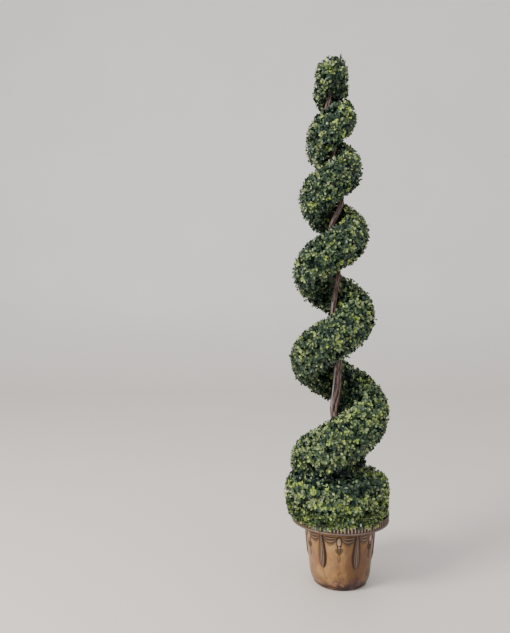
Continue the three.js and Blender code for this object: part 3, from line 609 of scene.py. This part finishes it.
def dressFoliage():
    rng = np.random.default_rng(20)
    groups = [bandSprays(rng), *(ballSprays(rng, middle, size) for middle, size in tipBalls + clumps)]
    for points, ways in (ringSprays(rng), moundSprays(rng), fringeSprays(rng)):
        groups.append((points, ways, np.full(len(points), ringTurn)))
    tips, ways, turns = (np.concatenate(parts) for parts in zip(*groups))
    onBand = turns > ringTurn
    inBand = bandShare(tips)
    crowding = np.where(onBand, ringShare(tips), inBand)
    inOpen = (crowding > spray["buried"]) & (~onBand | (inBand > spray["buried"]))
    # sprays near the clumps count as fully crowded, so they take the darkest kinds as painted shade
    for middle, size in clumps:
        crowding[onBand & (np.linalg.norm(tips - middle, axis=1) < 1.5 * size)] = 1
    ways = unit(ways + rng.uniform(-spray["lean"], spray["lean"], ways.shape))
    inset = spray["tipInset"] + rng.uniform(*spray["insetStray"], len(tips))
    inset -= spray["strayOut"] * (rng.random(len(tips)) < spray["stray"])
    tips = tips - ways * inset[:, None]
    # sprays buried in another mass are left out, and those that would end in the stems grow shorter
    blocked = fromStems(tips) <= spray["fromStems"]
    keep = inOpen & ~blocked & clearOfPot(tips)
    short = tips - ways * spray["shortBy"]
    behind = inOpen & onBand & blocked & (fromStems(short) > spray["fromStems"])
    # the shortened sprays behind the stems count as fully crowded, so they take the darkest kinds as painted
    # shade
    groups = [
        growGroup(rng, tips[keep], ways[keep], turns[keep], crowding[keep]),
        growGroup(rng, short[behind], ways[behind], turns[behind], np.ones(behind.sum())),
    ]
    corners, tones, places = (np.concatenate(parts) for parts in zip(*groups))
    print("leaves:", len(corners), "on", keep.sum() + behind.sum(), "sprays")

    # one piece for the ring, one for each turn and one for the tip
    sides = ["left", "front", "right", "back"]
    starts = [ringTurn - 1, band["firstTurn"] - 0.01, *(band["firstTurn"] + 0.25 + np.arange(1, 6)), 9]
    masses = {"leaves_ring": [f"ring_foliage_{side}" for side in sides]}
    for turn in range(1, 6):
        masses[f"leaves_turn_{turn}"] = [f"band_turn_{turn}_{side}" for side in sides]
    masses["leaves_turn_1"].insert(0, "band_foot")
    masses["leaves_tip"] = ["band_tip"]
    materials = leafMaterials()
    for (name, nodes), low, high in zip(masses.items(), starts, starts[1:]):
        mine = (places >= low) & (places < high)
        some = corners[mine]
        first = np.arange(len(some)) * len(leaf["outline"])
        faces = (leaf["faces"][None] + first[:, None, None]).reshape(-1, 3)
        tone = np.repeat(tones[mine], len(leaf["faces"]))
        slotName = "ring_leaves" if name == "leaves_ring" else "band_leaves"
        makePiece(name, some.reshape(-1, 3), faces, materials, slotName, nodes, tone)
        print(name, len(faces), "faces")
    return tips[keep], ways[keep]


def twigSpikes(feet, tips, radius):
    # a closed three-sided spike for each twig
    first, second = squareTo(unit(tips - feet))
    base = [
        feet + radius * (first * math.cos(angle) + second * math.sin(angle))
        for angle in (0, fullTurn / 3, 2 * fullTurn / 3)
    ]
    points = np.stack([*base, tips], axis=1).reshape(-1, 3)
    pattern = np.array([[0, 2, 1], [0, 1, 3], [1, 2, 3], [2, 0, 3]])
    faces = (pattern[None] + 4 * np.arange(len(feet))[:, None, None]).reshape(-1, 3)
    return points, faces


def barkMaterial(name, light, middle, dark, roughness=0.8):
    material, tree, shader = startMaterial(name, roughness)
    grain = noiseField(tree, 330, 7, (1, 1, 0.10), 0.6)
    base = colourRamp(tree, grain, [(0.3, dark), (0.52, middle), (0.72, light)])
    # darker where the stored field holds cracks and painted shade
    cracked = mixColours(tree, storedField(tree, "crackAndShade"), base, tuple(0.35 * part for part in dark))
    dressShader(tree, shader, cracked, grain, 0.8, 0.7)
    return material


def stemRings(rng, height, turned, out, wide):
    # one crooked stem that keeps its place in the bundle and carries lengthwise bark ridges; its dark field
    # holds the cracks between them and painted shade higher up
    way = unit(stemPoint(height + 2) - stemPoint(height - 2))
    side = unit(np.array([1.0, 0, 0]) - way * way[:, :1])
    front = np.cross(way, side)
    phases = rng.uniform(0, fullTurn, 4)
    middle = stemPoint(height) + side * (out * np.cos(turned))[:, None]
    middle = middle + front * (out * np.sin(turned))[:, None]
    around = roundSteps(stems["sides"])
    grain = around[None, :] + height[:, None] / 60
    ridge = np.sin(3 * grain + phases[0]) * 0.55
    ridge = ridge + np.sin(5 * grain + phases[1] + 1.5 * np.sin(height[:, None] / 19))
    knotHeights = rng.uniform(stems["foot"], stems["tip"], stems["knots"])
    knots = np.minimum(sum(bell(height, knot, 7) for knot in knotHeights), 1)
    swell = 1 + stems["swell"] * np.sin(height / 26 + phases[2]) + stems["knotSwell"] * knots
    rough = 1 + stems["ridge"] * ridge + rng.normal(0, stems["rough"], ridge.shape)
    radius = (wide * swell)[:, None] * rough
    rings = ringsAlong(middle, side, front, radius, around)
    # painted shade higher up the stem, added to the crack field
    shaded = stems["shade"] * smoothStep(height, *stems["shadeSpan"])[:, None]
    return rings, np.clip(-ridge * 1.1 - 0.15 + shaded, 0, 1)


def vineCourse(rng, index, height):
    # how far each stem has turned round the bundle, how far out it lies, and its radius
    phases = rng.uniform(0, fullTurn, 3)
    bundle = bundleRadius(height) * (1 - stems["slimmer"] * smoothStep(height, *stems["slimSpan"]))
    turned = fullTurn * (index / stems["count"] + height / stems["twist"])
    turned = turned + 0.22 * np.sin(height / 47 + phases[0]) + 0.13 * np.sin(height / 21 + phases[1])
    out = bundle * (1 - stems["vineShare"]) * (1 + 0.10 * np.sin(height / 33 + phases[2]))
    return turned, out, bundle * stems["vineShare"]


def rodCourse(height):
    # the pale rod shows on the bundle's left in the lowest window, and hides in it elsewhere
    shown = bell(height, stems["rodShownAt"], stems["rodShownSpan"])
    out = bundleRadius(height) * (0.3 + 0.66 * shown)
    return stems["rodSide"] + 0 * height, out, bundleRadius(height) * stems["rodShare"]


def tendril(start, end, bow, radius, sides=6, rows=14):
    share = np.linspace(0, 1, rows)
    path = start + (end - start) * share[:, None] + bow * (4 * share * (1 - share))[:, None]
    way = unit(np.gradient(path, axis=0))
    helper = np.array([0.3, 0.9, 0.1])
    first = unit(np.cross(way, helper))
    wide = radius * (1 - 0.6 * share)[:, None]
    return cappedTube(ringsAlong(path, first, np.cross(way, first), wide, roundSteps(sides)))


# Boughs carry the band from the stems, and a few thin tendrils leave the bundle at these heights.
boughs = {
    "everyTurn": 0.125, "radius": 2.6, "tendrilsAt": (462, 478, 497, 700, 905, 1130), "tendrilLong": 34,
    "tendrilRadius": 1.5, "twigRadius": 1.0,
}


def makeBarked(name, parts, bark, slotName, stands=(), crackAndShade=()):
    storeNumbers(makePiece(name, *parts, [bark], slotName, stands), "crackAndShade", crackAndShade)


def dressStems(tips, ways):
    rng = np.random.default_rng(7)
    height = np.linspace(stems["foot"], stems["tip"], stems["rows"])
    bark = barkMaterial("vineBark", stems["light"], stems["middle"], stems["dark"])
    for number in range(1, stems["count"] + 1):
        rings, crackAndShade = stemRings(rng, height, *vineCourse(rng, number - 1, height))
        makeBarked(f"vine_{number}", cappedTube(rings), bark, "vine_bark", [f"vine_stem_{number}"], crackAndShade)
    rodBark = barkMaterial("rodBark", (0.5, 0.48, 0.46), (0.36, 0.34, 0.33), (0.2, 0.18, 0.17), 0.5)
    rings, crackAndShade = stemRings(rng, height, *rodCourse(height))
    makeBarked("pale_rod", cappedTube(rings), rodBark, "centre_rod", ["centre_rod"], crackAndShade * 0.3)

    parts = []
    for turn in np.arange(band["firstTurn"] + 0.06, band["tipTurn"] - 0.1, boughs["everyTurn"]):
        end = bandPoint(np.array([turn]), bandReach(turn) * 0.5, math.pi)[0]
        start = stemPoint(np.array([end[2] - 6 + rng.uniform(-8, 8)]))[0]
        parts.append(tendril(start, end, rng.uniform(-5, 5, 3), boughs["radius"]))
    for low in boughs["tendrilsAt"]:
        start = stemPoint(np.array([low]))[0]
        end = start + rng.uniform((-1, -1, -0.9), (-0.3, -0.4, 0.4)) * boughs["tendrilLong"]
        parts.append(tendril(start, end, rng.uniform(-6, 6, 3), boughs["tendrilRadius"]))
    makeBarked("boughs", joinMeshes(parts), bark, "vine_bark")

    twigBark = barkMaterial("twigBark", (0.1, 0.11, 0.05), (0.055, 0.06, 0.03), (0.02, 0.022, 0.012), 0.7)
    feet = tips - ways * (spray["footInset"] - spray["tipInset"])
    makeBarked("twigs", twigSpikes(feet, tips + ways, boughs["twigRadius"]), twigBark, "vine_bark")
    print("stems, boughs and twigs made")


# Packed insides of the foliage, well behind the leaves, coloured near black as painted shade.
heart = {
    "depth": 20, "innerDepth": 13, "sides": 18, "rowsPerTurn": 26, "ringSides": 64,
    "colour": (0.006, 0.013, 0.010), "fleck": (0.016, 0.032, 0.020),
}


def dressHearts():
    material, tree, shader = startMaterial("paintedShadeInside", 0.8)
    # near-black colours: painted shade deep in the foliage
    base = colourRamp(tree, noiseField(tree, 260, 5), [(0.4, heart["colour"]), (0.7, heart["fleck"])])
    dressShader(tree, shader, base, noiseField(tree, 240, 4), 3, 0.8)
    rows = int((band["tipTurn"] - band["firstTurn"]) * heart["rowsPerTurn"])
    turns = np.linspace(band["firstTurn"] + 0.03, band["tipTurn"], rows)[:, None]
    around = roundSteps(heart["sides"])
    depth = heart["depth"] + heart["innerDepth"] * (1 - np.cos(around[None, :])) / 2
    parts = [cappedTube(bandPoint(turns, np.maximum(bandReach(turns) - depth, 5), around[None, :]))]
    # the tip's two balls, and the ring with the mound in its middle
    rise = np.cos(np.linspace(0.02, math.pi - 0.5, 16))[:, None]
    across = np.sqrt(1 - rise**2)
    for middle, size in tipBalls:
        reach = (size - heart["depth"]) * squared(across, rise)
        parts.append(cappedTube(turnedRound(across * reach, rise * reach, around)[::-1] + middle))
    parts.append(cappedTube(ringHeart()))
    makePiece("packed_insides", *joinMeshes(parts), [material], "band_leaves")
    print("packed insides made")


def ringHeart():
    # from the pot's neck up and over the ring to the mound
    around = np.linspace(-1.9, 1.75, 22)
    full = squared(np.cos(around), np.sin(around))
    away = ring["radius"] + np.cos(around) * full * (ring["width"] - heart["depth"])
    height = ring["middle"] + np.sin(around) * full * (ring["height"] - heart["depth"])
    profile = np.stack([away, height], axis=-1)
    neck = np.array([[40, 170], [88, 172], [110, 186], [126, 196], [128, 206]])
    mound = np.array([[52, -26], [30, -16], [14, -12]]) + [0, ring["moundTop"]]
    profile = np.vstack([neck, profile[profile[:, 1] > 208], mound])
    rings = turnedRound(profile[:, :1], profile[:, 1:], roundSteps(heart["ringSides"]))
    rings[:, :, 0] += (ring["shift"] * smoothStep(profile[:, 1], 195, 240))[:, None]
    return rings


# The pot: one turned shell whose outside carries the cast relief. The beads that hang between two pods
# give their height, half width, half height, how proud they stand, and how deep the groove round them is.
pot = {
    "sides": 552, "bodyStep": 1.7, "plainStep": 12, "wall": 3.2, "floor": 5,
    "footRadius": 75, "footHeight": 10, "baseRadius": 88, "baseHeight": 34,
    "neckRadius": 101, "neckHeight": 162, "rimRadius": 142, "rimBottom": 180, "rimTop": 205,
    "beadTop": 186, "reeds": 92, "reedDepth": 2.8, "podCount": 6, "podAngle": math.radians(-128.7),
    "podTop": 165, "podBottom": 65, "podHalf": 11, "podProud": 4, "outline": 2.2,
    "jewel": (147, 6, 12.5, 3.6, 1), "knot": (131, 3, 2.6, 2.2, 0.9), "drop": (100, 2.8, 7.5, 1.6, 0.55),
    "tasselTop": 129, "tasselTall": 18, "tasselWide": 8.6,
    "swagTop": 161, "swagDrop": 23, "swagProud": 2.4, "folds": 2.5, "curlHeight": 47, "curlWide": 7.5,
    # the last three angles face the painted highlight on the reeds, the soot, and the darker side with
    # tarnish and painted shade
    "shineAt": math.radians(-86), "sootAt": math.radians(-62), "darkSideAt": math.radians(-22),
}


def potLine():
    # the shell's outline, from the middle of its underside up the outside and down the inside
    foot, base, neck, rim = pot["footRadius"], pot["baseRadius"], pot["neckRadius"], pot["rimRadius"]
    wall, low, top, lift = pot["wall"], pot["rimBottom"], pot["rimTop"], pot["neckHeight"]
    step, bend, floor = pot["footHeight"], pot["baseHeight"], pot["floor"]
    corners = np.array([
        [12, 0], [foot, 0], [foot + 2.5, 2], [foot + 4, step - 2], [foot + 3.5, step],
        [foot + 7, step + 3], [base - 3, bend - 13], [base, bend], [neck, lift], [neck + 7, lift + 9],
        [neck + 23, low - 2], [rim - 3, low], [rim - 0.4, low + 0.8], [rim, low + 2.5], [rim, top - 2],
        [rim - 2, top], [rim - wall, top - 1], [rim - wall - 1, low + wall + 1], [neck + 20, low + wall - 1],
        [neck + 3, lift + 12], [neck - wall, lift], [base - wall, bend], [foot + 3, floor + 9],
        [foot - 4, floor], [12, floor],
    ])
    steps = np.linalg.norm(np.diff(corners, axis=0), axis=1)
    line = []
    for index, step in enumerate(steps):
        fine = pot["bodyStep"] if 3 <= index <= 15 else pot["plainStep"]
        count = max(1, round(step / fine))
        for share in np.arange(count) / count:
            line.append(corners[index] * (1 - share) + corners[index + 1] * share)
    line = np.array([*line, corners[-1]])
    smooth = line.copy()
    smooth[1:-1] = (line[:-2] + 2 * line[1:-1] + line[2:]) / 4
    return smooth


def podShape(down):
    places = [0, 0.05, 0.15, 0.3, 0.45, 0.6, 0.72, 0.84, 0.93, 0.98, 1]
    return np.interp(down, places, [0.34, 0.38, 0.48, 0.68, 0.88, 1, 0.97, 0.8, 0.52, 0.22, 0])


def potRelief(angle, height, radius):
    # raise above the wall in millimetres, how dark the groove is, and how worn and light the ridge
    body = smoothStep(height, 30, 36) * (1 - smoothStep(height, pot["swagTop"], pot["swagTop"] + 3))
    count, start = pot["podCount"], pot["podAngle"]
    across = nearestOf(angle, start, count) * radius
    fromPod = np.abs(across)
    down = (pot["podTop"] - height) / (pot["podTop"] - pot["podBottom"])
    half = np.maximum(pot["podHalf"] * podShape(np.clip(down, 0, 1)), 0.01)
    onPod = (down > 0) & (down < 1) & (fromPod < half)
    share = fromPod / half
    ridges = np.clip(bell(share, 0, 0.11) + 0.8 * bell(share, 0.5, 0.08), 0, 1)
    dome = np.clip(1 - share**2, 0, 1) ** 0.5 * (1 - 0.7 * smoothStep(down, 0.8, 1))
    raised = np.where(onPod, pot["podProud"] * dome - 1.5 * (1 - ridges) * dome, 0)
    off = np.hypot(np.maximum(fromPod - half, 0), np.maximum((down - 0.97) * 100, 0))
    outline = pot["outline"] * np.where(across > 0, 1.25, 0.9)  # wider on the side away from the light: painted shadow
    edge = np.where(onPod, 0, bell(off, 0.8, outline)) * (down > -0.05) * (down < 1.05)
    dark = np.where(onPod, 0.95 - 0.66 * ridges + 0.2 * smoothStep(share, 0.7, 0.9), edge)
    light = np.where(onPod, 0.36 * ridges, 0)
    raised = raised - 1.4 * edge

    # jewel, knot, tassel and drop between each two pods
    hang = nearestOf(angle, start + math.pi / count, count) * radius
    fromHang = np.abs(hang)
    for middle, halfWide, tall, proud, rim in (pot["jewel"], pot["knot"], pot["drop"]):
        away = np.hypot(hang / halfWide, (height - middle) / tall)
        bead = np.clip(1 - away**2, 0, 1) ** 0.5
        groove = bell(np.maximum(away - 1, 0) * halfWide, 1.2, pot["outline"] * rim) * (away > 1)
        raised = np.where(away < 1, proud * bead, raised - 1.3 * groove)
        dark = np.where(away < 1, 0.12 + 0.8 * (1 - rim), np.maximum(dark, groove * rim))
        light = np.where(away < 1, 0.5 * bead * rim**3, light)
    # the tassel is three leaves that spread and meet in a point
    top, foot = pot["tasselTop"], pot["tasselTop"] - pot["tasselTall"]
    fallen = np.clip((top - height) / pot["tasselTall"], 0, 1)
    wide = pot["tasselWide"] * np.sin(math.pi * (0.25 + 0.75 * fallen)) ** 0.8
    onTassel = (height < top) & (height > foot) & (fromHang < wide)
    strand = 0.5 + 0.5 * np.cos(fullTurn * hang / np.maximum(wide, 1) * 1.25)
    raised = np.where(onTassel, 0.8 + 1.6 * strand, raised)
    dark = np.where(onTassel, 1 - 0.4 * strand, dark)
    light = np.where(onTassel, 0, light)
    around = (height < top + 1) * (height > foot - 2) * ~onTassel
    dark = np.maximum(dark, 0.9 * bell(fromHang - wide, 0.8, 1.6) * around)

    # swags: folds of cloth that hang from the jewels to the pods
    jewelHalf = pot["jewel"][1]
    along = np.clip((fromHang - 5) / (math.pi / count * radius - 10), 0, 1)
    depth = pot["swagDrop"] * (4 * along * (1 - along)) ** 0.85 + 0.6
    fall = (pot["swagTop"] - height) / depth
    onSwag = (fall > 0) & (fall < 1) & (fromHang > jewelHalf + 2) & (fromPod > half + 2)
    fold = 0.5 - 0.5 * np.cos(fullTurn * pot["folds"] * fall)
    crowd = np.clip(depth / 9, 0, 1)
    raised = np.where(onSwag, (0.5 + pot["swagProud"] * fold) * crowd, raised)
    dark = np.where(onSwag, np.maximum((1 - fold) ** 0.7 * crowd, 0.38), dark)
    light = np.where(onSwag, 0.2 * fold**2 * crowd, light)
    under = bell((fall - 1) * depth, 1.2, 1.7) * crowd * ~onSwag
    under = under * (fromHang > jewelHalf) * (fromPod > half + 1)
    dark = np.maximum(dark, 0.9 * under)
    raised = raised - 0.9 * under

    # faint creases that run from the pods' tips to the foot, and a small curl under each tassel
    sunk = np.clip((pot["podBottom"] + 2 - height) / 42, 0, 1)
    crease = bell(across, 5 * sunk + 9 * sunk**2, 1.4) * (sunk > 0.03) * (0.35 + 0.4 * sunk)
    fromCurl = np.hypot(hang - 4, (height - pot["curlHeight"]) / 1.3)
    curl = bell(fromCurl, pot["curlWide"], 1.5) * (hang < 3) * 0.55
    raised = raised - 0.7 * crease - 0.7 * curl
    dark = np.maximum(dark, np.maximum(crease, curl))
    return raised * body, np.clip(dark * body, 0, 1), np.clip(light * body, 0, 1)


def potMaterial():
    # patches of four bronzes, then the rim's brown, tarnish and umber that also paint shade on the right
    # side, soot, groove fill, and wear that also paints highlights on the reeds and bead, each where the
    # shell's stored numbers put it
    # tarnish and umber: partly painted shade on the right side; worn: wear, and painted highlights on the
    # reeds and bead
    finish = {
        "gold": (0.405, 0.215, 0.075), "pale": (0.495, 0.308, 0.128), "rose": (0.335, 0.182, 0.098),
        "copper": (0.345, 0.146, 0.05), "groove": (0.032, 0.015, 0.009), "soot": (0.034, 0.018, 0.03),
        "rim": (0.062, 0.036, 0.027), "wornAndShine": (0.58, 0.47, 0.39), "tarnishAndShade": (0.095, 0.044, 0.02),
        "umberShade": (0.135, 0.06, 0.025),
    }
    material, tree, shader = startMaterial("castBronze", 0.36, metallic=0.4)
    stops = ((0.36, "copper"), (0.43, "rose"), (0.50, "gold"), (0.61, "pale"))
    patches = noiseField(tree, 15, 8, harshness=0.62)
    base = colourRamp(tree, patches, [(place, finish[name]) for place, name in stops])
    streaks = numbersTo(tree, noiseField(tree, 30, 8, (1, 1, 0.35), 0.62), 0.36, 0.58)
    speckle = numbersTo(tree, noiseField(tree, 48, 8, harshness=0.62), 0.43, 0.55)
    broken = {"tarnishAndShade": streaks, "soot": speckle}
    for name in ("tarnishAndShade", "umberShade", "rim", "soot", "groove", "wornAndShine"):
        share = storedField(tree, name)
        if name in broken:
            share = addNode(tree, "Math", 0, {0: broken[name], 1: share}, operation="MULTIPLY")
        base = mixColours(tree, share, base, finish[name])
    rough = numbersTo(tree, noiseField(tree, 55, 5), 0.3, 0.7, 0.28, 0.5)
    tree.links.new(rough, shader.inputs["Roughness"])
    dressShader(tree, shader, base, noiseField(tree, 95, 6), 0.8, 0.35)
    return material


def dressPot():
    line = potLine()
    rows, sides = len(line), pot["sides"]
    step, neck, low, top = pot["footHeight"], pot["neckHeight"], pot["rimBottom"], pot["rimTop"]
    angle = roundSteps(sides)
    outside = (np.arange(rows) <= np.argmax(line[:, 1]))[:, None]
    radius, height = (np.repeat(line[:, [part]], sides, axis=1) for part in (0, 1))
    onBody = outside & (height < neck + 2)
    relief = potRelief(angle[None, :], height, radius)
    raised, dark, light = (np.where(onBody, field, 0) for field in relief)
    # round reeds on the rim's face above a plain bead, with a groove between the two
    beadTop = pot["beadTop"]
    onFace = outside & (radius > pot["rimRadius"] - 2.5)
    face = smoothStep(height, beadTop, beadTop + 2.5) * (1 - smoothStep(height, top - 3, top - 0.6)) * onFace
    reeds = np.abs(np.sin(angle * pot["reeds"] / 2))[None, :]
    raised = raised - pot["reedDepth"] * (1 - reeds) * face
    dark = np.maximum(dark, (1 - smoothStep(reeds, 0.35, 0.85)) * face)
    # the reeds' tops are lighter towards the front: a painted highlight, stored with the wear
    toFront = bell(nearestOf(angle, pot["shineAt"], 1), 0, 0.5)[None, :]
    light = np.maximum(light, (0.16 + 0.74 * toFront) * smoothStep(reeds, 0.82, 1) * face)
    seam = bell(height, beadTop - 0.3, 1.3) * onFace
    raised = raised - 1.6 * seam + 0.6 * bell(height, low + 3, 2.4) * onFace
    # a thin painted highlight along the top of the bead
    light = np.maximum(light, 0.34 * bell(height, low + 3.6, 1.3) * onFace)
    # dark grooves above the foot and round the bead, and a dark band under the rim's overhang that is
    # painted shadow
    ledge = np.maximum(bell(height, step + 1, 3.2), 0.75 * bell(height, neck + 10, 8))
    dark = np.maximum(dark, np.maximum(ledge * outside, 0.9 * seam))
    shell = cappedTube(turnedRound(radius + raised, height, angle))
    piece = makePiece("bronze_pot", *shell, [potMaterial()], "pot", ["pot"])
    rim = smoothStep(height, neck + 4, low) * 0.85
    rim = rim + 0.45 * (1 - smoothStep(height, step - 2, step + 3)) * outside
    toRight = smoothStep(np.cos(angle - pot["sootAt"]), -0.2, 0.95)[None, :]
    soot = (1 - smoothStep(height, 10, 58)) * (0.2 + 0.8 * toRight)
    # darker and browner towards the right: partly tarnish, partly painted shade on the side away from the
    # light
    toDarkSide = np.cos(angle - pot["darkSideAt"])[None, :] + 0 * height
    tarnishAndShade = 0.2 + 0.8 * smoothStep(toDarkSide, -0.1, 0.85)
    umberShade = 0.78 * smoothStep(toDarkSide, 0.15, 0.8)
    colourFields = {"groove": dark, "wornAndShine": light, "rim": rim, "soot": soot, "tarnishAndShade": tarnishAndShade, "umberShade": umberShade}
    for name, field in colourFields.items():
        storeNumbers(piece, name, np.clip(field, 0, 1))
    print("pot made:", rows, "rows")


def dressFilling():
    material, tree, shader = startMaterial("driedMoss", 0.9)
    peat, moss = (0.03, 0.02, 0.012), (0.10, 0.075, 0.04)
    base = colourRamp(tree, noiseField(tree, 190, 6), [(0.35, peat), (0.6, moss)])
    dressShader(tree, shader, base, noiseField(tree, 150, 6), 4, 0.9)
    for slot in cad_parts["pot_filling"].material_slots:
        slot.link = "OBJECT"
        slot.material = material


# Floor, wall and soft light.
studio = {
    "floor": (0.86, 0.79, 0.725), "wall": (0.97, 0.95, 0.93), "halfWide": 9000, "near": -7000,
    "wallAt": 4600, "bend": 900, "wallTop": 5200, "air": (0.94, 0.97, 1.0), "airStrength": 0.85,
    "aim": (0, 0, 0.75),
}
lamps = {
    "key": {"place": (-2.6, -1.7, 2.7), "size": 1.3, "power": 140, "colour": (1.0, 0.97, 0.92)},
    "fill": {"place": (2.4, -2.2, 1.5), "size": 2.4, "power": 8, "colour": (0.92, 0.96, 1.0)},
}


def dressStudio():
    turn, bend = np.linspace(0, math.pi / 2, 12), studio["bend"]
    curve = zip(studio["wallAt"] - bend + bend * np.sin(turn), bend * (1 - np.cos(turn)))
    line = [(studio["near"], 0), *curve, (studio["wallAt"], studio["wallTop"])]
    points = [(x, y, z) for y, z in line for x in (-studio["halfWide"], studio["halfWide"])]
    faces = [(2 * i, 2 * i + 1, 2 * i + 3, 2 * i + 2) for i in range(len(line) - 1)]
    material, tree, shader = startMaterial("paleFloor", 0.5)
    place = addNode(tree, "TexCoord", "Object", {})
    height = addNode(tree, "SeparateXYZ", "Z", {0: place})
    base = mixColours(tree, numbersTo(tree, height, 0, 0.9), studio["floor"], studio["wall"])
    cloud = numbersTo(tree, noiseField(tree, 1.6, 5), 0.3, 0.7, 0, 0.12)
    base = mixColours(tree, cloud, base, tuple(0.8 * part for part in studio["floor"]))
    tree.links.new(base, shader.inputs["Base Color"])
    floor = makeMesh("floor", points, faces, [material])
    world = bpy.data.worlds.new("softRoom")
    world.use_nodes = True
    air = world.node_tree.nodes["Background"]
    air.inputs["Color"].default_value = (*studio["air"], 1)
    air.inputs["Strength"].default_value = studio["airStrength"]
    bpy.context.scene.world = world
    for name, lamp in lamps.items():
        glow = bpy.data.lights.new(name, "AREA")
        glow.size, glow.energy, glow.color = lamp["size"], lamp["power"], lamp["colour"]
        light = addObject(name, glow)
        light.location = lamp["place"]
        aim = np.array(studio["aim"]) - np.array(lamp["place"])
        yaw = math.atan2(aim[1], aim[0]) - math.pi / 2
        light.rotation_euler = (math.pi / 2 + math.atan2(aim[2], math.hypot(aim[0], aim[1])), 0, yaw)


sprayTips, sprayWays = dressFoliage()
dressStems(sprayTips, sprayWays)
dressHearts()
dressPot()
dressFilling()
dressStudio()
